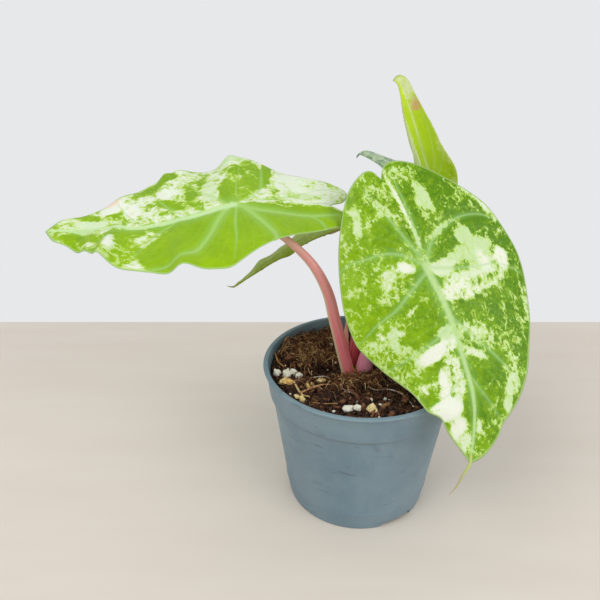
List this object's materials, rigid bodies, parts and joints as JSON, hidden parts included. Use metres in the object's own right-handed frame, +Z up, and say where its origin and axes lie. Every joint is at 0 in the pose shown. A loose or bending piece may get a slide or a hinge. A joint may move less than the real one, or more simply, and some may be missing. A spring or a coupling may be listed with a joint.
{
  "type": "potted pink dragon alocasia",
  "caption": "Young variegated alocasia with arrow-shaped waved leaves on pink stalks, growing in soil in a round grey nursery pot.",
  "frame": {"origin": "middle of the pot's underside, on the surface that it stands on", "axes": "+Z up along the pot's axis; -Y towards the viewer, whom the large front leaf faces; the other large leaf reaches towards -X"},
  "size_m": [0.2025, 0.1315, 0.1928],
  "materials": {
    "pot_plastic": "thermoformed grey plastic, faintly scuffed",
    "potting_mix": "dark damp peat with bark fibres, perlite and fine roots",
    "leaf_variegated": "soft waxy leaf, green with cream and mint speckles, veins silvery green",
    "leaf_young": "thin yellow-green young leaf, faintly pink",
    "leaf_rear": "grey-green leaf with a cream network",
    "leaf_olive": "olive-green leaf, semi-gloss",
    "stalk_pink": "fleshy pink-red leaf stalk, paler at the top, tan along its sheath",
    "sheath_papery": "thin salmon-pink papery sheath"
  },
  "bodies": {
    "root": {"pot": "pot_plastic", "soil": "potting_mix", "blade_front": "leaf_variegated", "blade_left": "leaf_variegated", "blade_young": "leaf_young", "blade_rear": "leaf_rear", "blade_back": "leaf_olive", "petiole_front": "stalk_pink", "petiole_left": "stalk_pink", "petiole_young": "stalk_pink", "petiole_rear": "stalk_pink", "petiole_back": "stalk_pink", "sheath": "sheath_papery"}
  },
  "joints": []
}
